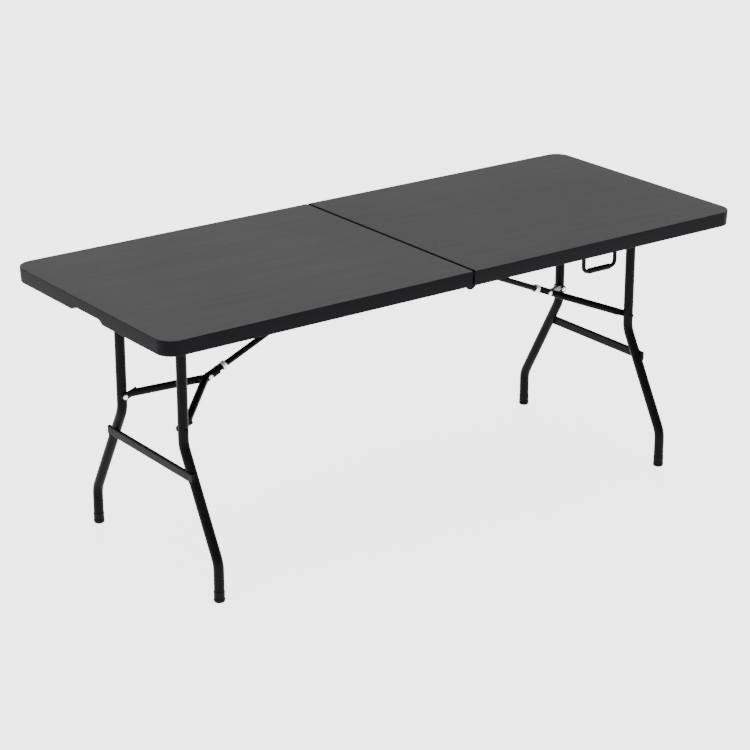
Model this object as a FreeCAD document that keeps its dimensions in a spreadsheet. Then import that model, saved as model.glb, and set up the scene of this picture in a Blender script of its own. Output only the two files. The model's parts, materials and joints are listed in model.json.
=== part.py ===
"""Folding table with a bi-fold tabletop. Two panel halves hang on a two-pin centre hinge, a leg
frame folds under each half, and a jointed Y brace holds each leg frame. Millimetres, +X along the
length, +Y across, +Z up, origin on the floor at the middle."""
import FreeCAD, Part
import math
import os
import Sketcher
from FreeCAD import Matrix, Placement, Rotation, Vector

DIMENSIONS = [
    ("table_length", 1820, "overall length"),
    ("table_width", 740, "overall width"),
    ("table_height", 740, "floor to tabletop"),
    ("rim_height", 42, "depth of the moulded rim"),
    ("end_rim", 25, "width of the end rim"),
    ("long_rim", 18, "width of the long rims"),
    ("rim_draft", 3, "draft of the outer walls, degrees"),
    ("panel_thickness", 12, "tabletop inside the rim"),
    ("corner_radius", 45, "outer corners in plan"),
    ("edge_round", 4, "rounding of the upper edge"),
    ("lower_round", 2.5, "rounding of the rim's lower edge"),
    ("seam_gap", 4.5, "gap between the two halves"),
    ("brace_skin", 3.5, "tabletop over the brace recess"),
    ("notch_depth", 11.5, "hand notch in each end rim"),
    ("notch_flat", 120, "hand notch at its top"),
    ("notch_mouth", 168, "hand notch at its mouth"),
    ("pin_height", 709, "centre hinge pins above the floor"),
    ("pin_spacing", 23, "between the centre hinge pins"),
    ("rod_radius", 5, "cross rods that are the hinge pins"),
    ("running_clearance", 0.05, "radial, pin in a bore"),
    ("plate_thickness", 3, "centre link plates"),
    ("plate_offset", 356.5, "middle of a link plate from the centre line"),
    ("rail_offset", 340, "middle of a side rail from the centre line"),
    ("rail_width", 20, "side rail tube, across"),
    ("rail_height", 28, "side rail tube, upright"),
    ("rail_wall", 1.5, "side rail wall"),
    ("rail_length", 786, "side rail"),
    ("leg_station", 735, "leg pivot from the middle of the table"),
    ("leg_pivot_height", 712.5, "leg pivot above the floor"),
    ("leg_diameter", 27, "leg tube"),
    ("tube_wall", 1.4, "wall of the round tubes"),
    ("leg_upper_offset", 148.5, "upper leg from the centre line"),
    ("leg_foot_offset", 297, "foot from the centre line"),
    ("upper_bend_height", 370.5, "where the leg starts to splay"),
    ("lower_bend_height", 101, "where the leg turns upright again"),
    ("leg_bend_radius", 70, "centre line radius of the leg bends"),
    ("foot_sole", 5, "plastic under the tube end"),
    ("foot_cap_height", 30, "foot cap"),
    ("foot_cap_radius", 14.7, "foot cap at its widest"),
    ("axle_diameter", 19, "leg axle tube"),
    ("axle_length", 700, "leg axle"),
    ("crossbar_height", 300, "middle of the crossbar above the floor"),
    ("crossbar_depth", 26, "flat oval crossbar, upright"),
    ("crossbar_thickness", 10, "flat oval crossbar, along the table"),
    ("crossbar_length", 410, "crossbar"),
    ("crossbar_setback", 9.1, "crossbar outboard of the leg centre line"),
    ("brace_leg_height", 410, "brace bolt on the leg above the floor"),
    ("link_length", 602, "brace link, hinge rod to knee"),
    ("yoke_length", 181.21, "brace yoke, knee to leg"),
    ("link_diameter", 16, "brace link tube"),
    ("link_eye_radius", 9, "eye of the link on the hinge rod"),
    ("link_eye_width", 12, "eye of the link, across"),
    ("channel_inner", 9, "inner radius of the brace channel"),
    ("channel_outer", 10.8, "outer radius of the brace channel"),
    ("channel_mouth", 41.3, "channel from the knee towards the table"),
    ("channel_tail", 28, "channel from the knee towards the leg"),
    ("cheek_drop", 7, "channel cheeks below the knee"),
    ("arm_diameter", 20, "yoke arms"),
    ("eye_inner", 129.7, "inner face of a yoke arm's eye"),
    ("eye_thickness", 4.5, "yoke arm's eye"),
    ("eye_radius", 10, "yoke arm's eye"),
    ("rivet_radius", 4, "brace rivets"),
    ("rivet_head", 6.5, "brace rivet heads, radius"),
    ("rivet_head_height", 3, "brace rivet heads"),
    ("ring_radius", 12.3, "lock ring outside"),
    ("ring_bore", 11.1, "lock ring where it slips over the channel"),
    ("ring_length", 12, "lock ring"),
    ("ring_gap", 1.5, "lock ring to the channel mouth"),
    ("handle_station", 463.9, "carry handle from the middle of the table"),
    ("handle_width", 109, "between the sides of the handle"),
    ("handle_drop", 64.5, "handle pivot to the grip"),
    ("handle_offset", 321.5, "handle pivot from the centre line"),
    ("handle_wire", 11, "handle rod diameter"),
    ("handle_corner", 15, "centre line radius of the handle's corners"),
    ("grip_radius", 8, "handle grip"),
    ("grip_length", 76, "handle grip"),
    ("clip_length", 20, "handle clips along the table"),
    ("screw_head", 5, "screw heads, radius"),
    ("screw_head_height", 1.6, "screw heads"),
    ("screw_radius", 2, "screw shanks"),
    ("screw_bite", 6, "rail screws inside the tabletop"),
]

doc = FreeCAD.newDocument("folding_table")
sheet = doc.addObject("Spreadsheet::Sheet", "Sizes")
for row_number, (alias, value, meaning) in enumerate(DIMENSIONS, start=1):
    sheet.set(f"A{row_number}", meaning)
    sheet.set(f"B{row_number}", str(value))
    sheet.setAlias(f"B{row_number}", alias)
doc.recompute()

ENDS = {"right": 1, "left": -1}
ROWS = {"near": -1, "far": 1}
SCREW_STATIONS = (90, 300, 560, 690)
ALONG = Vector(1, 0, 0)
ACROSS = Vector(0, 1, 0)
UP = Vector(0, 0, 1)
subparts = []


def size(name):
    """A driving dimension from the sheet."""
    return float(sheet.get(name))


def keep(node, item):
    """Names a finished sub-part and lists it for export."""
    item.Label = node
    subparts.append(item)
    return item


# ---- primitives bound to the sheet ----

def bind(item, sizes):
    for prop, expression in sizes:
        item.setExpression(prop, expression)
    doc.recompute([item])
    return item


def placed(item, place, frame):
    item.Placement = frame.multiply(place) if frame else place
    return item


def box(name, length, width, height, centre, frame=None):
    """A box about its centre, from three sheet expressions."""
    sizes = (("Length", length), ("Width", width), ("Height", height))
    item = bind(doc.addObject("Part::Box", name), sizes)
    half = Vector(item.Length.Value, item.Width.Value, item.Height.Value) / 2
    return placed(item, Placement(centre - half, Rotation()), frame)


def cylinder(name, radius, height, middle, direction, frame=None):
    """A cylinder about its middle, from two sheet expressions."""
    item = bind(doc.addObject("Part::Cylinder", name), (("Radius", radius), ("Height", height)))
    turn = Rotation(UP, direction)
    base = middle - turn.multVec(UP * (item.Height.Value / 2))
    return placed(item, Placement(base, turn), frame)


def boolean(kind, name, base, tool):
    item = doc.addObject(kind, name)
    item.Base = base
    item.Tool = tool
    return item


def cut(name, base, tool):
    return boolean("Part::Cut", name, base, tool)


def common(name, base, tool):
    return boolean("Part::Common", name, base, tool)


def fuse(name, pieces):
    item = doc.addObject("Part::MultiFuse", name)
    item.Shapes = pieces
    return item


def compound(name, pieces):
    item = doc.addObject("Part::Compound", name)
    item.Links = pieces
    return item


def tube(name, radius, inner_radius, length, middle, direction, frame=None):
    outer = cylinder(name + "_outer", radius, length, middle, direction, frame)
    inner = cylinder(name + "_inner", inner_radius, length, middle, direction, frame)
    return cut(name, outer, inner)


# ---- sketches and bodies ----

def rounded_path(points, radii, closed):
    """Lines through the points, with a tangent arc of the given radius at each corner."""
    count = len(points)
    corners = []
    for i, point in enumerate(points):
        if not radii[i]:
            corners.append((point, point, None))
            continue
        back = (points[i - 1] - point).normalize()
        ahead = (points[(i + 1) % count] - point).normalize()
        half = back.getAngle(ahead) / 2
        run = radii[i] / math.tan(half)
        bisector = (back + ahead).normalize()
        nearest = point + bisector * (radii[i] / math.sin(half) - radii[i])
        corners.append((point + back * run, point + ahead * run, nearest))
    edges = []
    for i in range(count if closed else count - 1):
        start = corners[i][1]
        end, leave, nearest = corners[(i + 1) % count]
        if start.distanceToPoint(end) > 1e-6:
            edges.append(Part.LineSegment(start, end))
        if nearest:
            edges.append(Part.Arc(end, nearest, leave))
    return edges


def new_sketch(body, name, role, offset=0.0):
    plane = next(f for f in body.Origin.OriginFeatures if f.Role == role)
    sketch = body.newObject("Sketcher::SketchObject", name)
    sketch.AttachmentSupport = [(plane, "")]
    sketch.MapMode = "FlatFace"
    sketch.AttachmentOffset = Placement(Vector(0, 0, offset), Rotation())
    return sketch


def circle(sketch, centre, radius):
    """A circle whose radius is a sheet expression."""
    index = sketch.addGeometry(Part.Circle(centre, UP, 5), False)
    number = sketch.addConstraint(Sketcher.Constraint("Radius", index, 5.0))
    sketch.setExpression(f"Constraints[{number}]", radius)


def polygon(sketch, points, radii):
    corners = [Vector(x, y, 0) for x, y in points]
    sketch.addGeometry(rounded_path(corners, radii, True), False)


def rectangle(sketch, x0, x1, y0, y1):
    polygon(sketch, [(x0, y0), (x1, y0), (x1, y1), (x0, y1)], [0] * 4)


def feature(body, kind, name, sketch, length=None, backwards=False):
    """A sketch feature that has to change the body's volume."""
    doc.recompute()
    before = body.Shape.Volume if body.Shape.Solids else 0
    item = body.newObject(kind, name)
    item.Profile = sketch
    if length:
        item.setExpression("Length", length)
        item.Reversed = backwards
    doc.recompute()
    if abs(body.Shape.Volume - before) < 1:
        raise RuntimeError(f"{name} changes nothing")
    return item


def round_edges(body, name, height, radius):
    """Rounds every edge that lies in the plane of one height."""
    base = body.Tip
    names = []
    for i, edge in enumerate(base.Shape.Edges, start=1):
        limits = edge.BoundBox
        if abs(limits.ZMin - height) < 0.01 and abs(limits.ZMax - height) < 0.01:
            names.append(f"Edge{i}")
    item = body.newObject("PartDesign::Fillet", name)
    item.Base = (base, names)
    item.setExpression("Radius", radius)
    doc.recompute()


# ---- the tabletop halves ----

def tabletop(end_name, end):
    """One moulded half: slab with a drafted rim, and the recesses of its underside."""
    half_width = size("table_width") / 2
    reach = size("table_length") / 2
    seam = size("seam_gap") / 2
    top = size("table_height")
    underside = top - size("panel_thickness")
    bottom = top - size("rim_height")
    radius = size("corner_radius")
    inner = half_width - size("long_rim")
    deep = "Sizes.rim_height"
    body = doc.addObject("PartDesign::Body", f"{end_name}_top_body")

    outline = new_sketch(body, f"{end_name}_outline", "XY_Plane", top)
    points = [(end * x, y) for x, y in (
        (seam, -half_width), (reach, -half_width), (reach, half_width), (seam, half_width))]
    polygon(outline, points, [0, radius, radius, 0])
    slab = feature(body, "PartDesign::Pad", f"{end_name}_slab", outline, deep, True)
    slab.TaperAngle = -size("rim_draft")
    doc.recompute()
    round_edges(body, f"{end_name}_upper_round", top, "Sizes.edge_round")
    round_edges(body, f"{end_name}_lower_round", bottom, "Sizes.lower_round")

    def recess(name, height, shapes, depth=deep):
        sketch = new_sketch(body, f"{end_name}_{name}_outline", "XY_Plane", height)
        for shape_points, radii in shapes:
            polygon(sketch, [(end * x, y) for x, y in shape_points], radii)
        feature(body, "PartDesign::Pocket", f"{end_name}_{name}", sketch, depth)

    far_wall = reach - size("end_rim")
    recess("cavity", underside, [(
        [(-10, -inner), (far_wall, -inner), (far_wall, inner), (-10, inner)],
        [0, 28, 28, 0],
    )])
    recess("brace_recess", top - size("brace_skin"), [(
        [(390, -20), (486, -20), (486, -98), (612, -98), (612, -20), (668, -20),
         (668, 20), (612, 20), (612, 98), (486, 98), (486, 20), (390, 20)],
        [6, 4, 10, 10, 4, 6, 6, 4, 10, 10, 4, 6],
    )])
    recess("link_slots", underside, [
        ([(-10, row * (inner - 1)), (38, row * (inner - 1)), (38, row * 362.5), (-10, row * 362.5)],
         [0] * 4)
        for row in ROWS.values()
    ])

    flat = size("notch_flat") / 2
    mouth = size("notch_mouth") / 2
    sketch = new_sketch(body, f"{end_name}_notch_outline", "YZ_Plane", end * (reach + 5))
    polygon(sketch, [
        (-mouth - 12, bottom - 3), (-mouth - 8, bottom), (-mouth + 8, bottom),
        (-flat, bottom + size("notch_depth")), (flat, bottom + size("notch_depth")),
        (mouth - 8, bottom), (mouth + 8, bottom), (mouth + 12, bottom - 3),
    ], [0, 4, 14, 14, 14, 14, 4, 0])
    feature(body, "PartDesign::Pocket", f"{end_name}_hand_notch", sketch,
            "Sizes.end_rim + 12", end < 0)

    holes = new_sketch(body, f"{end_name}_screw_holes", "XY_Plane", underside + size("screw_bite") + 1)
    for row in ROWS.values():
        for x in SCREW_STATIONS:
            centre = Vector(end * x, row * size("rail_offset"), 0)
            circle(holes, centre, "Sizes.screw_radius + Sizes.running_clearance")
    feature(body, "PartDesign::Pocket", f"{end_name}_screw_pilots", holes, deep)
    keep(f"tabletop_{end_name}", body)


# ---- rails, rods and screws ----

def side_rails(end_name, end):
    """Two rectangular tubes, bored for the leg axle, the centre rod and the screws."""
    middle_x = end * (4 + size("rail_length") / 2)
    middle_z = size("table_height") - size("panel_thickness") - size("rail_height") / 2
    for row_name, row in ROWS.items():
        node = f"side_rail_{end_name}_{row_name}"
        y = row * size("rail_offset")
        centre = Vector(middle_x, y, middle_z)
        outer = box(node + "_outer", "Sizes.rail_length", "Sizes.rail_width", "Sizes.rail_height", centre)
        hollow = box(
            node + "_hollow", "Sizes.rail_length + 2", "Sizes.rail_width - 2 * Sizes.rail_wall",
            "Sizes.rail_height - 2 * Sizes.rail_wall", centre,
        )
        bores = [
            cylinder(
                node + "_axle_bore", "Sizes.axle_diameter / 2 + Sizes.running_clearance", "30",
                Vector(end * size("leg_station"), y, size("leg_pivot_height")), ACROSS,
            ),
            cylinder(
                node + "_rod_bore", "Sizes.rod_radius + Sizes.running_clearance", "30",
                Vector(end * size("pin_spacing") / 2, y, size("pin_height")), ACROSS,
            ),
        ]
        for i, x in enumerate(SCREW_STATIONS):
            bores.append(cylinder(
                f"{node}_hole_{i}", "Sizes.screw_radius + Sizes.running_clearance",
                "Sizes.rail_height + 2", Vector(end * x, y, middle_z), UP,
            ))
        keep(node, cut(node + "_bored", cut(node + "_tube", outer, hollow), fuse(node + "_bores", bores)))


def rail_screws(end_name, end):
    """Screws up through both rails into the tabletop."""
    screws = []
    seat = size("table_height") - size("panel_thickness") - size("rail_height")
    shank_length = size("rail_height") + size("screw_bite")
    for row in ROWS.values():
        for x in SCREW_STATIONS:
            foot = Vector(end * x, row * size("rail_offset"), seat)
            name = f"{end_name}_screw_{len(screws)}"
            head = cylinder(
                name + "_head", "Sizes.screw_head", "Sizes.screw_head_height",
                foot - UP * (size("screw_head_height") / 2), UP,
            )
            shank = cylinder(
                name + "_shank", "Sizes.screw_radius", "Sizes.rail_height + Sizes.screw_bite",
                foot + UP * (shank_length / 2), UP,
            )
            screws.append(fuse(name, [head, shank]))
    keep(f"rail_screws_{end_name}", compound(f"{end_name}_screw_set", screws))


def centre_rod(end_name, end):
    """Cross rod of one half and the caps on its ends."""
    middle = Vector(end * size("pin_spacing") / 2, 0, size("pin_height"))
    rod_end = size("plate_offset") + size("plate_thickness") / 2 + 0.3
    rod = cylinder(
        f"{end_name}_rod", "Sizes.rod_radius",
        "2 * Sizes.plate_offset + Sizes.plate_thickness + 0.6", middle, ACROSS,
    )
    keep(f"centre_rod_{end_name}", rod)
    caps = [
        cylinder(f"{end_name}_rod_cap_{i}", "8", "2.7", middle + ACROSS * (row * (rod_end + 1.35)), ACROSS)
        for i, row in enumerate(ROWS.values())
    ]
    keep(f"rod_caps_{end_name}", compound(f"{end_name}_cap_set", caps))


def link_plates():
    """The two lobed plates that join the cross rods of the halves."""
    pin_x = size("pin_spacing") / 2
    pin_z = size("pin_height")
    for row_name, row in ROWS.items():
        body = doc.addObject("PartDesign::Body", f"centre_link_{row_name}_body")
        sketch = new_sketch(body, f"centre_link_{row_name}_outline", "XZ_Plane", -row * size("plate_offset"))
        side = pin_x + 11
        polygon(
            sketch,
            [(side, pin_z + 11), (-side, pin_z + 11), (-side, pin_z - 7), (-7, pin_z - 22.5),
             (7, pin_z - 22.5), (side, pin_z - 7)],
            [11, 11, 8, 13, 13, 8],
        )
        for x in (-pin_x, pin_x):
            circle(sketch, Vector(x, pin_z, 0), "Sizes.rod_radius + Sizes.running_clearance")
        pad = feature(body, "PartDesign::Pad", f"centre_link_{row_name}_pad", sketch,
                      "Sizes.plate_thickness")
        pad.Midplane = True
        keep(f"centre_link_{row_name}", body)


# ---- leg frames ----

def leg_tube(node, station, row):
    """One bent tube: upright, splayed, upright again."""
    body = doc.addObject("PartDesign::Body", node + "_body")
    top = size("leg_pivot_height")
    upper = row * size("leg_upper_offset")
    lower = row * size("leg_foot_offset")
    path = new_sketch(body, node + "_path", "YZ_Plane")
    points = [
        Vector(upper, top, 0), Vector(upper, size("upper_bend_height"), 0),
        Vector(lower, size("lower_bend_height"), 0), Vector(lower, size("foot_sole"), 0),
    ]
    bend = size("leg_bend_radius")
    path.addGeometry(rounded_path(points, [0, bend, bend, 0], False), False)
    profile = new_sketch(body, node + "_profile", "XY_Plane", top)
    circle(profile, Vector(0, upper, 0), "Sizes.leg_diameter / 2")
    circle(profile, Vector(0, upper, 0), "Sizes.leg_diameter / 2 - Sizes.tube_wall")
    doc.recompute()
    pipe = body.newObject("PartDesign::AdditivePipe", node + "_pipe")
    pipe.Profile = profile
    pipe.Spine = (path, [f"Edge{i + 1}" for i in range(len(path.Shape.Edges))])
    body.Placement = Placement(Vector(station, 0, 0), Rotation())
    return body


def foot_cap(name, foot):
    """Plastic cap with a rounded sole."""
    body = doc.addObject("PartDesign::Body", name + "_body")
    sketch = new_sketch(body, name + "_section", "XZ_Plane")
    widest = size("foot_cap_radius")
    bore = size("leg_diameter") / 2 + size("running_clearance")
    tall = size("foot_cap_height")
    sole = size("foot_sole")
    polygon(
        sketch,
        [(0, 0), (widest - 0.8, 0), (widest, 9), (widest - 0.1, tall), (bore, tall), (bore, sole), (0, sole)],
        [0, 5, 3, 0.5, 0, 0, 0],
    )
    turn = body.newObject("PartDesign::Revolution", name + "_turn")
    turn.Profile = sketch
    turn.ReferenceAxis = (sketch, ["V_Axis"])
    turn.Angle = 360
    body.Placement = Placement(foot, Rotation())
    return body


def crossbar(end_name, bar_x):
    """Flat oval bar on edge, across the outboard face of the legs."""
    body = doc.addObject("PartDesign::Body", f"crossbar_{end_name}_body")
    sketch = new_sketch(body, f"crossbar_{end_name}_section", "XZ_Plane")
    half = size("crossbar_thickness") / 2
    deep = size("crossbar_depth") / 2
    polygon(sketch, [(half, deep), (-half, deep), (-half, -deep), (half, -deep)], [half - 0.1] * 4)
    pad = feature(body, "PartDesign::Pad", f"crossbar_{end_name}_pad", sketch, "Sizes.crossbar_length")
    pad.Midplane = True
    body.Placement = Placement(Vector(bar_x, 0, size("crossbar_height")), Rotation())
    return keep(f"crossbar_{end_name}", body)


def leg_frame(end_name, end):
    """Axle, two splayed legs, crossbar, foot caps and the bolts that carry the brace."""
    station = end * size("leg_station")
    pivot = Vector(station, 0, size("leg_pivot_height"))
    keep(f"leg_axle_{end_name}", tube(
        f"{end_name}_axle", "Sizes.axle_diameter / 2", "Sizes.axle_diameter / 2 - Sizes.tube_wall",
        "Sizes.axle_length", pivot, ACROSS,
    ))
    bar_x = station + end * size("crossbar_setback")
    crossbar(end_name, bar_x)
    bolts = []
    for row_name, row in ROWS.items():
        node = f"leg_{end_name}_{row_name}"
        shoulder = pivot + ACROSS * (row * size("leg_upper_offset"))
        saddle = cylinder(node + "_saddle", "Sizes.axle_diameter / 2", "80", shoulder, ACROSS)
        notch = box(
            node + "_notch", "Sizes.crossbar_thickness", "Sizes.crossbar_length",
            "Sizes.crossbar_depth", Vector(bar_x, 0, size("crossbar_height")),
        )
        bolt_at = Vector(station, row * size("leg_upper_offset"), size("brace_leg_height"))
        bore = cylinder(node + "_bolt_bore", "Sizes.rivet_radius + 0.1", "40", bolt_at, ACROSS)
        tools = fuse(node + "_cuts", [saddle, notch, bore])
        keep(node, cut(node + "_fitted", leg_tube(node, station, row), tools))
        foot = Vector(station, row * size("leg_foot_offset"), 0)
        keep(f"foot_{end_name}_{row_name}", foot_cap(f"{end_name}_{row_name}_foot", foot))
        shank = cylinder(
            node + "_bolt", "Sizes.rivet_radius", "Sizes.leg_diameter + 0.7",
            bolt_at + ACROSS * (row * 0.25), ACROSS,
        )
        outer_face = size("leg_diameter") / 2 + 0.6
        head = cylinder(
            node + "_bolt_head", "6", "2.4", bolt_at + ACROSS * (row * (outer_face + 1.2)), ACROSS,
        )
        bolts.append(fuse(node + "_bolt_piece", [shank, head]))
    keep(f"leg_bolts_{end_name}", compound(f"{end_name}_bolt_set", bolts))


# ---- the Y braces ----

def frame_along(origin, target, end):
    """A frame at origin with X towards target, Y across and Z up, square to X."""
    along = (target - origin).normalize()
    across = ACROSS * end
    normal = along.cross(across)
    return Placement(Matrix(
        along.x, across.x, normal.x, origin.x,
        along.y, across.y, normal.y, origin.y,
        along.z, across.z, normal.z, origin.z,
        0, 0, 0, 1,
    ))


def brace_points(end):
    """Centre rod, knee and leg bolt of one brace, with the knee below the straight line."""
    rod = Vector(end * size("pin_spacing") / 2, 0, size("pin_height"))
    bolt = Vector(end * size("leg_station"), 0, size("brace_leg_height"))
    span = rod.distanceToPoint(bolt)
    link, yoke_arm = size("link_length"), size("yoke_length")
    along = (link ** 2 - yoke_arm ** 2 + span ** 2) / (2 * span)
    offset = math.sqrt(link ** 2 - along ** 2)
    chord = (bolt - rod).normalize()
    below = Vector(chord.z * end, 0, -abs(chord.x))
    return rod, rod + chord * along + below * offset, bolt


def link(end_name, frame):
    """Link in the frame of its knee: an eye on the centre rod and a tube with a round end."""
    rod = ALONG * -size("link_length")
    half_width = "Sizes.link_eye_width"
    disc = cylinder(f"{end_name}_eye_disc", "Sizes.link_eye_radius", half_width, rod, ACROSS, frame)
    neck = box(f"{end_name}_eye_neck", "22", half_width, "11", rod + ALONG * 11, frame)
    bore = cylinder(
        f"{end_name}_eye_bore", "Sizes.rod_radius + Sizes.running_clearance", "30", rod, ACROSS, frame
    )
    blank = fuse(f"{end_name}_eye_blank", [disc, neck])
    keep(f"link_eye_{end_name}", cut(f"{end_name}_eye", blank, bore))

    radius = size("link_diameter") / 2
    start = -size("link_length") + 22
    plug = 14
    bar = cylinder(
        f"{end_name}_bar", "Sizes.link_diameter / 2",
        "Sizes.link_length - 22 + Sizes.link_diameter / 2", ALONG * ((start + radius) / 2), ALONG, frame,
    )
    hollow = cylinder(
        f"{end_name}_hollow", "Sizes.link_diameter / 2 - Sizes.tube_wall",
        f"Sizes.link_length - 22 - {plug}", ALONG * ((start - plug) / 2), ALONG, frame,
    )
    shaft = cut(f"{end_name}_shaft", bar, hollow)
    straight = box(f"{end_name}_straight", "Sizes.link_length - 22", "20", "20", ALONG * (start / 2), frame)
    round_end = doc.addObject("Part::Sphere", f"{end_name}_round_end")
    round_end.setExpression("Radius", "Sizes.link_diameter / 2")
    round_end.Placement = frame
    limits = fuse(f"{end_name}_link_limits", [straight, round_end])
    hole = cylinder(
        f"{end_name}_link_hole", "Sizes.rivet_radius + Sizes.running_clearance", "24", Vector(),
        ACROSS, frame,
    )
    keep(f"link_tube_{end_name}", cut(
        f"{end_name}_link_bored", common(f"{end_name}_link_rounded", shaft, limits), hole))


def channel(end_name, frame):
    """Sheet channel over the knee, open below, whose mouth is a half tube."""
    mouth, tail = size("channel_mouth"), size("channel_tail")
    shell = tube(
        f"{end_name}_shell", "Sizes.channel_outer", "Sizes.channel_inner",
        "Sizes.channel_mouth + Sizes.channel_tail", ALONG * ((tail - mouth) / 2), ALONG, frame,
    )
    lower = box(
        f"{end_name}_lower", "Sizes.channel_mouth + Sizes.channel_tail + 4", "40", "40",
        Vector((tail - mouth) / 2, 0, -20), frame,
    )
    pieces = [cut(f"{end_name}_half_shell", shell, lower)]
    cheek_y = (size("channel_inner") + size("channel_outer")) / 2
    for i, row in enumerate(ROWS.values()):
        pieces.append(box(
            f"{end_name}_cheek_{i}", "Sizes.channel_tail + 30",
            "Sizes.channel_outer - Sizes.channel_inner", "Sizes.cheek_drop",
            Vector((tail - 30) / 2, row * cheek_y, -size("cheek_drop") / 2), frame,
        ))
    bore = cylinder(f"{end_name}_channel_bore", "Sizes.rivet_radius + 0.02", "40", Vector(), ACROSS, frame)
    blank = fuse(f"{end_name}_channel_blank", pieces)
    keep(f"brace_channel_{end_name}", cut(f"{end_name}_channel", blank, bore))


def knee_rivet(end_name, frame):
    shank = cylinder(
        f"{end_name}_knee_shank", "Sizes.rivet_radius", "2 * Sizes.channel_outer + 0.2", Vector(),
        ACROSS, frame,
    )
    head_y = size("channel_outer") + 0.1 + size("rivet_head_height") / 2
    heads = [
        cylinder(f"{end_name}_knee_head_{i}", "Sizes.rivet_head", "Sizes.rivet_head_height",
                 ACROSS * (row * head_y), ACROSS, frame)
        for i, row in enumerate(ROWS.values())
    ]
    keep(f"knee_rivet_{end_name}", fuse(f"{end_name}_knee", [shank] + heads))


def yoke_arms(end_name, end, knee, bolt):
    """Arms from the channel's cheeks to flat eyes inside the legs, and their rivets."""
    frame = frame_along(knee, bolt, end)
    reach = size("yoke_length")
    inner = size("eye_inner")
    eye_y = inner + size("eye_thickness") / 2
    cheek = size("channel_outer") + 0.05
    rivets = []
    for row_name, row in ROWS.items():
        side = row * end
        node = f"brace_arm_{end_name}_{row_name}"
        start = Vector(15, side * 4, 0)
        aim = Vector(reach - 26, side * (inner - 2), 0)
        direction = (aim - start).normalize()
        bar = tube(
            node + "_bar", "Sizes.arm_diameter / 2", "Sizes.arm_diameter / 2 - Sizes.tube_wall", "260",
            start + direction * 90, direction, frame,
        )
        span = box(node + "_span", "200", f"{inner - cheek}", "40",
                   Vector(100, side * (inner + cheek) / 2, 0), frame)
        plate = box(node + "_plate", "38", "Sizes.eye_thickness", "2 * Sizes.eye_radius - 2",
                    Vector(reach - 19, side * eye_y, 0), frame)
        disc = cylinder(node + "_disc", "Sizes.eye_radius", "Sizes.eye_thickness",
                        Vector(reach, side * eye_y, 0), ACROSS, frame)
        bore = cylinder(node + "_bore", "Sizes.rivet_radius + 0.02", "8",
                        Vector(reach, side * eye_y, 0), ACROSS, frame)
        arm = fuse(node + "_blank", [common(node + "_trimmed", bar, span), plate, disc])
        keep(node, cut(node + "_bored", arm, bore))
        shank = cylinder(node + "_shank", "Sizes.rivet_radius", "Sizes.eye_thickness",
                         Vector(reach, side * eye_y, 0), ACROSS, frame)
        head_y = inner - size("rivet_head_height") / 2
        head = cylinder(node + "_head", "Sizes.rivet_head", "Sizes.rivet_head_height",
                        Vector(reach, side * head_y, 0), ACROSS, frame)
        rivets.append(fuse(node + "_rivet", [shank, head]))
    keep(f"arm_rivets_{end_name}", compound(f"{end_name}_rivet_set", rivets))


def lock_ring(end_name, frame):
    """Cup-shaped ring on the link that can slip over the mouth of the channel."""
    start = -size("channel_mouth") - size("ring_gap")
    length = size("ring_length")
    outer = cylinder(
        f"{end_name}_ring_outer", "Sizes.ring_radius", "Sizes.ring_length",
        ALONG * (start - length / 2), ALONG, frame,
    )
    cup = cylinder(
        f"{end_name}_ring_cup", "Sizes.ring_bore", "Sizes.ring_length - 3",
        ALONG * (start - (length - 3) / 2), ALONG, frame,
    )
    bore = cylinder(
        f"{end_name}_ring_hole", "Sizes.link_diameter / 2 + Sizes.running_clearance", "30",
        ALONG * (start - length / 2), ALONG, frame,
    )
    tools = fuse(f"{end_name}_ring_tools", [cup, bore])
    keep(f"lock_ring_{end_name}", cut(f"{end_name}_ring", outer, tools))


def brace(end_name, end):
    rod, knee, bolt = brace_points(end)
    frame = frame_along(knee, knee + (knee - rod), end)
    link(end_name, frame)
    channel(end_name, frame)
    knee_rivet(end_name, frame)
    lock_ring(end_name, frame)
    yoke_arms(end_name, end, knee, bolt)
    return knee


# ---- the carry handle ----

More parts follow.
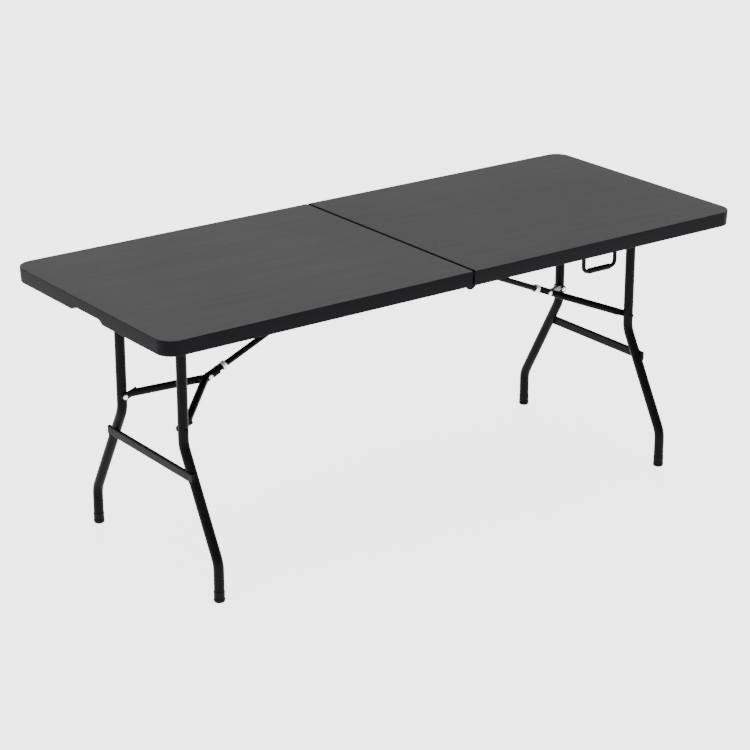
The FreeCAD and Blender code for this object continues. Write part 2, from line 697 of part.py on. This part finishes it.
def carry_handle():
    """A bent rod with turned-out ends, its grip, and the clips that it turns in."""
    station = size("handle_station")
    half = size("handle_width") / 2
    offset = size("handle_offset")
    height = 708
    low = height - size("handle_drop")
    stub = 15
    body = doc.addObject("PartDesign::Body", "handle_bail_body")
    path = new_sketch(body, "handle_path", "XZ_Plane", offset)
    points = [
        Vector(station - half - stub, height, 0), Vector(station - half, height, 0),
        Vector(station - half, low, 0), Vector(station + half, low, 0),
        Vector(station + half, height, 0), Vector(station + half + stub, height, 0),
    ]
    corner = size("handle_corner")
    path.addGeometry(rounded_path(points, [0, 5, corner, corner, 5, 0], False), False)
    profile = new_sketch(body, "handle_profile", "YZ_Plane", points[0].x)
    circle(profile, Vector(-offset, height, 0), "Sizes.handle_wire / 2")
    doc.recompute()
    pipe = body.newObject("PartDesign::AdditivePipe", "handle_pipe")
    pipe.Profile = profile
    pipe.Spine = (path, [f"Edge{i + 1}" for i in range(len(path.Shape.Edges))])
    keep("handle_bail", body)
    keep("handle_grip", tube(
        "grip", "Sizes.grip_radius", "Sizes.handle_wire / 2 + 0.02", "Sizes.grip_length",
        Vector(station, -offset, low), ALONG,
    ))
    clips, screws = [], []
    rail_face = size("rail_offset") - size("rail_width") / 2
    for i, turn in enumerate((-1, 1)):
        x = station + turn * (half + 6 + size("clip_length") / 2)
        corner = Vector(x, -rail_face + 8.5, height + 1)
        block = box(f"clip_block_{i}", "Sizes.clip_length", "17", "18", corner)
        hole = cylinder(
            f"clip_bore_{i}", "Sizes.handle_wire / 2 + 0.1", "12",
            Vector(station + turn * (half + 10), -offset, height), ALONG,
        )
        at = Vector(station + turn * (half + 21.5), -rail_face + 17, height + 1)
        screw_hole = cylinder(
            f"clip_screw_hole_{i}", "Sizes.screw_radius + Sizes.running_clearance", "60", at, ACROSS,
        )
        clips.append(cut(f"clip_{i}", block, fuse(f"clip_holes_{i}", [hole, screw_hole])))
        head = cylinder(f"clip_screw_head_{i}", "4", "2", at + ACROSS, ACROSS)
        shank = cylinder(f"clip_screw_shank_{i}", "Sizes.screw_radius", "17", at - ACROSS * 8.5, ACROSS)
        screws.append(fuse(f"clip_screw_{i}", [head, shank]))
    keep("handle_clips", compound("clip_set", clips))
    keep("handle_screws", compound("clip_screw_set", screws))


# ---- the whole table ----

for end_label, end_sign in ENDS.items():
    tabletop(end_label, end_sign)
    side_rails(end_label, end_sign)
    rail_screws(end_label, end_sign)
    centre_rod(end_label, end_sign)
    leg_frame(end_label, end_sign)
    brace(end_label, end_sign)
link_plates()
carry_handle()
doc.recompute()

broken = [item.Label for item in doc.Objects if "Invalid" in item.State or "Error" in item.State]
bad = [item.Label for item in subparts if item.Shape.isNull() or not item.Shape.isValid()]
if broken or bad:
    raise RuntimeError(f"failed objects {broken}, bad shapes {bad}")

os.makedirs("parts", exist_ok=True)
for item in subparts:
    item.Shape.exportStep(f"parts/{item.Label}.step")
    limits = item.Shape.BoundBox
    edges = (limits.XMin, limits.XMax, limits.YMin, limits.YMax, limits.ZMin, limits.ZMax)
    print(f"{item.Label}: {len(item.Shape.Solids)} solids, {item.Shape.Volume / 1000:.1f} cm3,",
          [round(value, 1) for value in edges])
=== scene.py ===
"""Folding table: materials, small moulded and welded details, studio light and camera."""
import json
import math

import bmesh
import bpy
from mathutils import Matrix, Vector


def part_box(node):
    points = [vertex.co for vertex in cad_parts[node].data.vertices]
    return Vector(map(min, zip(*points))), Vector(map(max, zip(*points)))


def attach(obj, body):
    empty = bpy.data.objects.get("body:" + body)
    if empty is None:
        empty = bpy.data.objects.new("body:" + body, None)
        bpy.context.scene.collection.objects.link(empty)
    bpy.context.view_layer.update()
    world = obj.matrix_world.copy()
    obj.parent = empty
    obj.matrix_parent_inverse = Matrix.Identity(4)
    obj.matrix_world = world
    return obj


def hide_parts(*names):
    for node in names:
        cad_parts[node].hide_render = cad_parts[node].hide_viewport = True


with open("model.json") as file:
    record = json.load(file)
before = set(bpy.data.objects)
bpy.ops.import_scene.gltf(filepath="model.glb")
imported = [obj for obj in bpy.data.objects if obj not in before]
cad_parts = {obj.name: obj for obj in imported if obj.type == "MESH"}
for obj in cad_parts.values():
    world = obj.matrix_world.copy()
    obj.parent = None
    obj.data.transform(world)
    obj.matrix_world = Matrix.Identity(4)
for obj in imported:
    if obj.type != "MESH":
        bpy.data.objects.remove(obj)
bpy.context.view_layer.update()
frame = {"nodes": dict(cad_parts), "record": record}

ENDS = {"right": 1, "left": -1}
ROWS = {"near": -1, "far": 1}

# Sizes of the frame that the weld beads and rings follow, in metres.
LEG_STATION = 0.735
LEG_PIVOT_HEIGHT = 0.7125
LEG_RADIUS = 0.0135
LEG_UPPER_OFFSET = 0.1485
LEG_UPPER_BEND = 0.3705
LEG_SPLAY = 0.5540
AXLE_RADIUS = 0.0095
LINK_RUN, LINK_DROP = 0.917712, 0.397246

# Sizes of heads, caps and shanks.
RIVET_HEAD, RIVET_RISE, RIVET_SHANK = 0.0065, 0.003, 0.0039
SCREW_RISE, SCREW_SHANK = 0.0016, 0.0019
ROD_CAP_RISE = 0.00265

# The half-width of the painted shade along the seam, where it starts to fade and where it has
# faded.
SEAM_PAINTED_SHADE, SEAM_PAINTED_SHADE_END = 0.0040, 0.0058
DIMPLES_PER_METRE = 31


# ---- node materials ----

def new_material(name):
    material = bpy.data.materials.new(name)
    material.use_nodes = True
    nodes, links = material.node_tree.nodes, material.node_tree.links
    return material, nodes, links, nodes["Principled BSDF"]


def noise(nodes, links, scale, detail=3.0, roughness=0.5, stretch=(1, 1, 1)):
    """Noise over the object's own coordinates in metres; scale is in repeats per metre."""
    place = nodes.new("ShaderNodeTexCoord")
    spread = nodes.new("ShaderNodeMapping")
    spread.inputs["Scale"].default_value = stretch
    links.new(place.outputs["Object"], spread.inputs["Vector"])
    texture = nodes.new("ShaderNodeTexNoise")
    texture.inputs["Scale"].default_value = scale
    texture.inputs["Detail"].default_value = detail
    texture.inputs["Roughness"].default_value = roughness
    links.new(spread.outputs["Vector"], texture.inputs["Vector"])
    return texture.outputs["Fac"]


def ramp(nodes, links, source, low, high, start=0.3, stop=0.7):
    """A value between low and high, as a colour pair or a grey pair."""
    item = nodes.new("ShaderNodeValToRGB")
    for element, position, value in zip(item.color_ramp.elements, (start, stop), (low, high)):
        element.position = position
        element.color = (*value, 1) if isinstance(value, tuple) else (value, value, value, 1)
    links.new(source, item.inputs["Fac"])
    return item.outputs["Color"]


def bump(nodes, links, shader, layers):
    """Chained bumps: each layer is a height source, a strength and a depth in metres."""
    last = None
    for source, strength, depth in layers:
        item = nodes.new("ShaderNodeBump")
        item.inputs["Strength"].default_value = strength
        item.inputs["Distance"].default_value = depth
        links.new(source, item.inputs["Height"])
        if last:
            links.new(last, item.inputs["Normal"])
        last = item.outputs["Normal"]
    links.new(last, shader.inputs["Normal"])


def component(nodes, links, vector, axis):
    """One component of a vector."""
    parts = nodes.new("ShaderNodeSeparateXYZ")
    links.new(vector, parts.inputs["Vector"])
    return parts.outputs[axis]


def step(nodes, links, source, low, high, smooth=True):
    """0 below low, 1 above high and a ramp between them."""
    item = nodes.new("ShaderNodeMapRange")
    if smooth:
        item.interpolation_type = "SMOOTHSTEP"
    item.inputs["From Min"].default_value = low
    item.inputs["From Max"].default_value = high
    links.new(source, item.inputs["Value"])
    return item.outputs["Result"]


def calculate(nodes, links, operation, first, second=None):
    """A math node; the second value is a source, a number or left out."""
    item = nodes.new("ShaderNodeMath")
    item.operation = operation
    links.new(first, item.inputs[0])
    if isinstance(second, float):
        item.inputs[1].default_value = second
    elif second is not None:
        links.new(second, item.inputs[1])
    return item.outputs["Value"]


def dimples(nodes, links):
    """Height of the moulded dimples that cover the underside only."""
    place = nodes.new("ShaderNodeTexCoord")
    grid = nodes.new("ShaderNodeTexVoronoi")
    grid.voronoi_dimensions = "2D"
    grid.inputs["Scale"].default_value = DIMPLES_PER_METRE
    grid.inputs["Randomness"].default_value = 0
    links.new(place.outputs["Object"], grid.inputs["Vector"])
    shape = step(nodes, links, grid.outputs["Distance"], 0.18, 0.36)
    slope = component(nodes, links, place.outputs["Normal"], "Z")
    below = calculate(nodes, links, "LESS_THAN", slope, -0.9)
    return calculate(nodes, links, "MULTIPLY", shape, below)


def painted_light_mask(nodes, links, wall=0.25, top=0.75):
    """1 on the object's own top, where light is painted, 0 on the walls of the rim, the underside
    and along the seam, where shade is painted.
    """
    place = nodes.new("ShaderNodeTexCoord")
    slope = component(nodes, links, place.outputs["Normal"], "Z")
    # Painted light and shade by slope: full painted light where the surface faces up, full painted
    # shade on the walls and the underside.
    painted_lit_share = step(nodes, links, slope, wall, top)
    across = component(nodes, links, place.outputs["Object"], "X")
    distance = calculate(nodes, links, "ABSOLUTE", across)
    # Painted shade: the seam between the two halves is painted near-black within these half-widths.
    outside_seam_shade = step(nodes, links, distance, SEAM_PAINTED_SHADE, SEAM_PAINTED_SHADE_END, smooth=False)
    return calculate(nodes, links, "MULTIPLY", painted_lit_share, outside_seam_shade)


def mix(nodes, links, amount, first, second):
    """A blend from the first colour to the second."""
    item = nodes.new("ShaderNodeMix")
    item.data_type = "RGBA"
    links.new(amount, item.inputs["Factor"])
    links.new(first, item.inputs[6])
    links.new(second, item.inputs[7])
    return item.outputs[2]


def moulded_plastic():
    """Matt blow-moulded plastic: a charcoal, faintly streaked top painted lighter as painted light
    from overhead, and a near-black rim as painted shade, also on the underside and along the seam.
    """
    material, nodes, links, shader = new_material("moulded_plastic")
    streaks = noise(nodes, links, 11, 5, 0.62, (0.22, 4.0, 1))
    clouds = noise(nodes, links, 2.2, 3, 0.55)
    grain = noise(nodes, links, 900, 2, 0.6)
    pebble = noise(nodes, links, 320, 3, 0.5)
    painted_lit_share = painted_light_mask(nodes, links)
    # Painted light: the top's charcoal is painted far lighter than the near-black, as light falls
    # from overhead; its clouds and streaks are the plastic's own random tone.
    plain = ramp(nodes, links, clouds, (0.060, 0.060, 0.0605), (0.075, 0.075, 0.0755))
    flow = ramp(nodes, links, streaks, (0.058, 0.058, 0.0585), (0.076, 0.076, 0.0765))
    # Painted shade: the same plastic painted near-black on the rim walls, the underside and along
    # the seam.
    rim = ramp(nodes, links, pebble, (0.0024, 0.0025, 0.0032), (0.0038, 0.0039, 0.0050))
    top = mix(nodes, links, clouds, plain, flow)
    links.new(mix(nodes, links, painted_lit_share, rim, top), shader.inputs["Base Color"])
    links.new(ramp(nodes, links, pebble, 0.46, 0.62), shader.inputs["Roughness"])
    shader.inputs["Specular IOR Level"].default_value = 0.04
    bump(nodes, links, shader, [
        (dimples(nodes, links), 0.8, 0.004), (pebble, 0.22, 0.0004), (grain, 0.16, 0.00015),
    ])
    return material


def powder_coat():
    """Satin black powder coat with orange peel."""
    material, nodes, links, shader = new_material("black_powder_coat")
    peel = noise(nodes, links, 420, 3, 0.5)
    wear = noise(nodes, links, 24, 5, 0.65)
    links.new(ramp(nodes, links, wear, (0.0022, 0.0022, 0.0028), (0.0040, 0.0040, 0.0048)),
              shader.inputs["Base Color"])
    links.new(ramp(nodes, links, wear, 0.30, 0.44), shader.inputs["Roughness"])
    shader.inputs["Specular IOR Level"].default_value = 0.035
    bump(nodes, links, shader, [(peel, 0.25, 0.00025)])
    return material


def black_plastic():
    """Satin injection-moulded black plastic."""
    material, nodes, links, shader = new_material("black_plastic")
    grain = noise(nodes, links, 700, 3, 0.55)
    scuff = noise(nodes, links, 60, 5, 0.7)
    links.new(ramp(nodes, links, scuff, (0.0034, 0.0034, 0.0038), (0.0060, 0.0060, 0.0066)),
              shader.inputs["Base Color"])
    links.new(ramp(nodes, links, scuff, 0.38, 0.55), shader.inputs["Roughness"])
    shader.inputs["Specular IOR Level"].default_value = 0.035
    bump(nodes, links, shader, [(grain, 0.2, 0.0002)])
    return material


def bright_zinc():
    """Bright zinc plate with faint crystal mottling and fine scratches."""
    material, nodes, links, shader = new_material("bright_zinc")
    mottle = noise(nodes, links, 260, 4, 0.6)
    scratches = noise(nodes, links, 500, 2, 0.5, (1, 12, 1))
    links.new(ramp(nodes, links, mottle, (0.74, 0.75, 0.77), (0.92, 0.93, 0.94)),
              shader.inputs["Base Color"])
    shader.inputs["Metallic"].default_value = 0.55
    links.new(ramp(nodes, links, mottle, 0.24, 0.40), shader.inputs["Roughness"])
    bump(nodes, links, shader, [(scratches, 0.15, 0.0001)])
    return material


MATERIALS = {
    "moulded_plastic": moulded_plastic(),
    "black_powder_coat": powder_coat(),
    "black_plastic": black_plastic(),
    "bright_zinc": bright_zinc(),
}


def smooth_by_angle(degrees=32):
    """A node group that shades smooth and keeps edges sharper than the angle."""
    group = bpy.data.node_groups.new("smooth_by_angle", "GeometryNodeTree")
    group.interface.new_socket("Geometry", in_out="INPUT", socket_type="NodeSocketGeometry")
    group.interface.new_socket("Geometry", in_out="OUTPUT", socket_type="NodeSocketGeometry")
    nodes, links = group.nodes, group.links
    start, stop = nodes.new("NodeGroupInput"), nodes.new("NodeGroupOutput")
    merge = nodes.new("GeometryNodeMergeByDistance")
    merge.inputs["Distance"].default_value = 0.000001
    faces, edges = nodes.new("GeometryNodeSetShadeSmooth"), nodes.new("GeometryNodeSetShadeSmooth")
    faces.domain, edges.domain = "FACE", "EDGE"
    faces.inputs["Shade Smooth"].default_value = True
    edges.inputs["Shade Smooth"].default_value = False
    angle = nodes.new("GeometryNodeInputMeshEdgeAngle")
    sharp = nodes.new("FunctionNodeCompare")
    sharp.data_type = "FLOAT"
    sharp.operation = "GREATER_THAN"
    sharp.inputs["B"].default_value = math.radians(degrees)
    links.new(angle.outputs["Unsigned Angle"], sharp.inputs["A"])
    links.new(sharp.outputs["Result"], edges.inputs["Selection"])
    links.new(start.outputs["Geometry"], merge.inputs["Geometry"])
    links.new(merge.outputs["Geometry"], faces.inputs["Geometry"])
    links.new(faces.outputs["Geometry"], edges.inputs["Geometry"])
    links.new(edges.outputs["Geometry"], stop.inputs["Geometry"])
    return group


SLOT_OF = {item["node"]: item["material_slot"] for item in frame["record"]["subparts"]}
SMOOTH = smooth_by_angle()
for node, obj in frame["nodes"].items():
    obj.modifiers.new("smooth", "NODES").node_group = SMOOTH
    for material_slot in obj.material_slots:
        material_slot.material = MATERIALS[SLOT_OF[node]]


# ---- small pieces that stand for, or sit on, the frame's plainer nodes ----

def add_piece(name, mesh, body, slot):
    """A smooth-shaded piece of the given material, riding on a body."""
    piece = bpy.data.objects.new(name, mesh)
    bpy.context.scene.collection.objects.link(piece)
    mesh.materials.append(MATERIALS[slot])
    for polygon in mesh.polygons:
        polygon.use_smooth = True
    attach(piece, body)
    return piece


def basis(direction):
    """A turn that takes +Z to the direction."""
    return Vector((0, 0, 1)).rotation_difference(Vector(direction)).to_matrix()


def lathe(bm, profile, centre, direction, segments=48):
    """Adds a turned solid: the profile is (radius, distance along direction) pairs."""
    turn = basis(direction)
    rings = []
    for radius, along in profile:
        ring = []
        for i in range(segments):
            angle = 2 * math.pi * i / segments
            point = Vector((radius * math.cos(angle), radius * math.sin(angle), along))
            ring.append(bm.verts.new(Vector(centre) + turn @ point))
        rings.append(ring)
    for lower, upper in zip(rings, rings[1:]):
        for i in range(segments):
            j = (i + 1) % segments
            bm.faces.new((lower[i], lower[j], upper[j], upper[i]))
    bm.faces.new(list(reversed(rings[0])))
    bm.faces.new(rings[-1])


def tube_along(bm, points, radii, segments=10, closed=False):
    """Adds a round bead along the points, one radius to each."""
    count = len(points)
    rings = []
    for i, point in enumerate(points):
        before = points[i - 1] if closed or i else points[i]
        after = points[(i + 1) % count] if closed or i < count - 1 else points[i]
        turn = basis((after - before).normalized())
        ring = []
        for k in range(segments):
            angle = 2 * math.pi * k / segments
            spoke = Vector((math.cos(angle), math.sin(angle), 0)) * radii[i]
            ring.append(bm.verts.new(point + turn @ spoke))
        rings.append(ring)
    for i in range(count if closed else count - 1):
        lower, upper = rings[i], rings[(i + 1) % count]
        shift = min(range(segments), key=lambda s: (upper[s].co - lower[0].co).length)
        for k in range(segments):
            j = (k + 1) % segments
            ahead, level = upper[(j + shift) % segments], upper[(k + shift) % segments]
            bm.faces.new((lower[k], lower[j], ahead, level))
    if not closed:
        bm.faces.new(list(reversed(rings[0])))
        bm.faces.new(rings[-1])


def finished(bm, name):
    """The mesh of a bmesh, with its faces turned outwards."""
    bmesh.ops.recalc_face_normals(bm, faces=bm.faces)
    mesh = bpy.data.meshes.new(name)
    bm.to_mesh(mesh)
    bm.free()
    return mesh


def dome(radius, height, base=0.0):
    """Profile of a rivet head: a short rim, then a crown."""
    profile = [(radius * 0.97, base), (radius, base + height * 0.12), (radius, base + height * 0.3)]
    for i in range(1, 9):
        angle = math.pi / 2 * i / 9
        crown = base + height * (0.3 + 0.7 * math.sin(angle))
        profile.append((radius * math.cos(angle) ** 0.9, crown))
    profile.append((radius * 0.05, base + height))
    return profile


def clusters(node, axes, reach):
    """Boxes (low, high) of a node's separate solids, told apart along the given axes."""
    groups = []
    for vertex in frame["nodes"][node].data.vertices:
        for group in groups:
            if all(abs(vertex.co[axis] - group[0][axis]) < reach for axis in axes):
                group.append(vertex.co.copy())
                break
        else:
            groups.append([vertex.co.copy()])
    return [
        tuple(Vector(pick(co[axis] for co in group) for axis in range(3)) for pick in (min, max))
        for group in groups
    ]


def rail_screws(end):
    """Pan heads and shanks of the screws that hold the rails."""
    node = f"rail_screws_{end}"
    bm = bmesh.new()
    for low, high in clusters(node, (0, 1), 0.012):
        head = (high[0] - low[0]) / 2
        seat = Vector(((low[0] + high[0]) / 2, (low[1] + high[1]) / 2, low[2] + SCREW_RISE))
        lathe(bm, dome(head, SCREW_RISE), seat, (0, 0, -1), 32)
        lathe(bm, [(SCREW_SHANK, 0.0), (SCREW_SHANK, high[2] - seat[2])], seat, (0, 0, 1), 20)
    piece = add_piece(f"rail_screw_heads_{end}", finished(bm, node), f"{end}_half", "bright_zinc")
    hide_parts(node)


def rod_caps(end):
    """Domed push-on caps at both ends of the centre rod."""
    node = f"rod_caps_{end}"
    bm = bmesh.new()
    for low, high in clusters(node, (1,), 0.1):
        side = 1 if low[1] > 0 else -1
        face = max(abs(low[1]), abs(high[1]))
        seat = side * (face - ROD_CAP_RISE)
        centre = Vector(((low[0] + high[0]) / 2, seat, (low[2] + high[2]) / 2))
        lathe(bm, dome((high[0] - low[0]) / 2, ROD_CAP_RISE), centre, (0, side, 0), 40)
    mesh = finished(bm, node)
    piece = add_piece(f"rod_cap_domes_{end}", mesh, f"{end}_half", "black_powder_coat")
    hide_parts(node)


def middle(node):
    """Centre of a node's box."""
    low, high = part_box(node)
    return (Vector(low) + Vector(high)) / 2


def rivets(end):
    """Knee and leg rivets of one brace."""
    knee = middle(f"knee_rivet_{end}")
    low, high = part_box(f"knee_rivet_{end}")
    flat = (high[1] - low[1]) / 2 - RIVET_RISE
    bm = bmesh.new()
    for side in (-1, 1):
        lathe(bm, dome(RIVET_HEAD, RIVET_RISE, flat), knee, (0, side, 0))
    shank = [(RIVET_SHANK, -flat), (RIVET_SHANK + 0.00005, 0), (RIVET_SHANK, flat)]
    lathe(bm, shank, knee, (0, 1, 0), 24)
    piece = add_piece(f"knee_rivet_dome_{end}", finished(bm, "knee"), f"{end}_yoke", "bright_zinc")
    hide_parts(f"knee_rivet_{end}")

    low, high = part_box(f"arm_rivets_{end}")
    centre = middle(f"arm_rivets_{end}")
    outer = high[1]
    bm = bmesh.new()
    for side in (-1, 1):
        seat = centre + Vector((0, side * (outer - 0.0045), 0))
        lathe(bm, dome(RIVET_HEAD, RIVET_RISE), seat, (0, -side, 0))
        lathe(bm, [(RIVET_SHANK, 0.0), (RIVET_SHANK, 0.0044)], seat, (0, side, 0), 24)
    piece = add_piece(f"arm_rivet_domes_{end}", finished(bm, "arm"), f"{end}_yoke", "bright_zinc")
    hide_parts(f"arm_rivets_{end}")


def ribbed_grip():
    """Moulded grip with rounded ends and shallow finger ribs."""
    low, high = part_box("handle_grip")
    centre = middle("handle_grip")
    half = (high[0] - low[0]) / 2
    radius = (high[2] - low[2]) / 2
    rounding = [(0.66, 0.0), (0.86, 0.0006), (0.97, 0.0022)]
    profile = [(radius * share, -half + along) for share, along in rounding]
    steps = 96
    for i in range(steps + 1):
        along = -half + 0.004 + (2 * half - 0.008) * i / steps
        wave = math.cos(2 * math.pi * (along + half) / 0.0078)
        profile.append((radius - 0.00045 + 0.00045 * max(-0.6, wave), along))
    profile += [(radius * share, half - along) for share, along in reversed(rounding)]
    bm = bmesh.new()
    lathe(bm, profile, centre, (1, 0, 0), 64)
    piece = add_piece("grip_moulding", finished(bm, "grip"), "carry_handle", "black_plastic")
    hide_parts("handle_grip")


def foot_mouldings(end):
    """Foot caps with a thick sole, a waist and a rolled lip."""
    for row_name in ROWS:
        node = f"foot_{end}_{row_name}"
        low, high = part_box(node)
        widest = (high[0] - low[0]) / 2
        tall = high[2]
        centre = Vector(((low[0] + high[0]) / 2, (low[1] + high[1]) / 2, 0))
        profile = [
            (widest * 0.70, 0.0), (widest * 0.84, 0.0004), (widest * 0.94, 0.0018),
            (widest * 0.99, 0.0042), (widest, 0.0075), (widest * 0.995, 0.0095),
            (widest * 0.965, 0.0102), (widest * 0.955, 0.0112), (widest * 0.955, tall - 0.0052),
            (widest * 0.965, tall - 0.0042), (widest * 0.985, tall - 0.0034),
            (widest * 0.985, tall - 0.0014), (widest * 0.96, tall - 0.0004), (widest * 0.90, tall),
            (0.0137, tall),
        ]
        bm = bmesh.new()
        lathe(bm, profile, centre, (0, 0, 1), 72)
        name = f"foot_moulding_{end}_{row_name}"
        piece = add_piece(name, finished(bm, node), f"{end}_legs", "black_plastic")
        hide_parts(node)


def rough(index, radius):
    """Radius of a weld bead at one of its ripples."""
    return radius * (1 + 0.16 * math.sin(index * 2.1) + 0.07 * math.sin(index * 5.3))


def welds(end, sign):
    """Beads where the crossbar and the axle meet the legs."""
    bar_low, bar_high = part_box(f"crossbar_{end}")
    station = sign * LEG_STATION
    for row_name, row in ROWS.items():
        bm = bmesh.new()
        for height in (bar_low[2] - 0.0004, bar_high[2] + 0.0004):
            leg_y = row * (LEG_UPPER_OFFSET + (LEG_UPPER_BEND - height) * LEG_SPLAY)
            points = []
            for i in range(25):
                angle = math.radians(-52 + 104 * i / 24)
                points.append(Vector((station + sign * 0.0134 * math.cos(angle),
                                      leg_y + 0.0153 * math.sin(angle), height)))
            tube_along(bm, points, [rough(i, 0.0013) for i in range(len(points))])
        for side in (-1, 1):
            points = []
            for i in range(33):
                angle = math.radians(180 + 180 * i / 32)
                across = LEG_RADIUS * math.cos(angle)
                if abs(across) < AXLE_RADIUS - 0.0001:
                    drop = math.sqrt(AXLE_RADIUS ** 2 - across ** 2)
                    out = side * LEG_RADIUS * abs(math.sin(angle))
                    points.append(Vector((station + across, row * LEG_UPPER_OFFSET + out,
                                          LEG_PIVOT_HEIGHT - drop)))
            tube_along(bm, points, [rough(i, 0.0012) for i in range(len(points))])
        name = f"weld_beads_{end}_{row_name}"
        add_piece(name, finished(bm, "weld"), f"{end}_legs", "black_powder_coat")


def turned_ring(end, sign):
    """Lock ring with rolled edges and a grip groove, hollow to slip over the channel."""
    node = f"lock_ring_{end}"
    centre = middle(node)
    along = Vector((sign * LINK_RUN, 0, -LINK_DROP))
    bm = bmesh.new()
    outline = [
        (0.0081, -0.0058), (0.0112, -0.0059), (0.0120, -0.0054), (0.0123, -0.0046),
        (0.0123, -0.0022), (0.01198, -0.0017), (0.01198, 0.0017), (0.0123, 0.0022),
        (0.0123, 0.0050), (0.0120, 0.0057), (0.0116, 0.0059), (0.01115, 0.0055),
        (0.01115, -0.0029), (0.0081, -0.0031),
    ]
    turn = basis(along)
    segments = 72
    rings = []
    for radius, distance in outline:
        rings.append([
            bm.verts.new(centre + turn @ Vector((
                radius * math.cos(2 * math.pi * i / segments),
                radius * math.sin(2 * math.pi * i / segments), distance)))
            for i in range(segments)
        ])
    for a, lower in enumerate(rings):
        upper = rings[(a + 1) % len(rings)]
        for i in range(segments):
            j = (i + 1) % segments
            bm.faces.new((lower[i], lower[j], upper[j], upper[i]))
    piece = add_piece(f"lock_ring_turned_{end}", finished(bm, node), f"{end}_ring", "bright_zinc")
    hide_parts(node)


for end_name, end_sign in ENDS.items():
    rivets(end_name)
    rail_screws(end_name)
    rod_caps(end_name)
    foot_mouldings(end_name)
    welds(end_name, end_sign)
    turned_ring(end_name, end_sign)
ribbed_grip()


# ---- stage, light and camera ----

def stage_floor():
    mesh = bpy.data.meshes.new("floor")
    edge = 30.0
    mesh.from_pydata([(-edge, -edge, 0), (edge, -edge, 0), (edge, edge, 0), (-edge, edge, 0)], [],
                     [(0, 1, 2, 3)])
    floor = bpy.data.objects.new("floor", mesh)
    bpy.context.scene.collection.objects.link(floor)
    floor.location.z = -0.0006
    material, nodes, links, shader = new_material("floor")
    shader.inputs["Base Color"].default_value = (0.86, 0.86, 0.86, 1)
    sheen = noise(nodes, links, 3.0, 2, 0.5)
    links.new(ramp(nodes, links, sheen, 0.22, 0.28), shader.inputs["Roughness"])
    shader.inputs["Specular IOR Level"].default_value = 0.5
    shader.inputs["Emission Color"].default_value = (1, 1, 1, 1)
    shader.inputs["Emission Strength"].default_value = 3.0
    mesh.materials.append(material)


def area_light(name, place, target, width, height, watts):
    """A rectangular light that looks at the target."""
    data = bpy.data.lights.new(name, "AREA")
    data.shape = "RECTANGLE"
    data.size = width
    data.size_y = height
    data.energy = watts
    lamp = bpy.data.objects.new(name, data)
    bpy.context.scene.collection.objects.link(lamp)
    lamp.location = place
    lamp.rotation_euler = (Vector(target) - Vector(place)).to_track_quat("-Z", "Y").to_euler()


def studio():
    world = bpy.data.worlds.new("studio")
    world.use_nodes = True
    world.node_tree.nodes["Background"].inputs["Color"].default_value = (1, 1, 1, 1)
    world.node_tree.nodes["Background"].inputs["Strength"].default_value = 0.85
    bpy.context.scene.world = world
    area_light("overhead", (0.2, 0.6, 4.6), (0, 0, 0.5), 4.0, 3.0, 70)
    area_light("side", (-3.6, -1.2, 2.6), (0, 0, 0.5), 2.0, 2.0, 30)


def camera():
    data = bpy.data.cameras.new("camera")
    data.sensor_width = 36
    data.lens = 112.94
    data.clip_end = 100
    cam = bpy.data.objects.new("camera", data)
    bpy.context.scene.collection.objects.link(cam)
    right = Vector((0.80664, -0.59104, 0.0))
    up = Vector((0.20851, 0.28457, 0.93570))
    back = Vector((-0.55304, -0.75478, 0.35278))
    turn = Matrix((right, up, back)).transposed()
    cam.matrix_world = Matrix.Translation((-3.5364, -4.7730, 2.5860)) @ turn.to_4x4()
    bpy.context.scene.camera = cam


stage_floor()
studio()
camera()
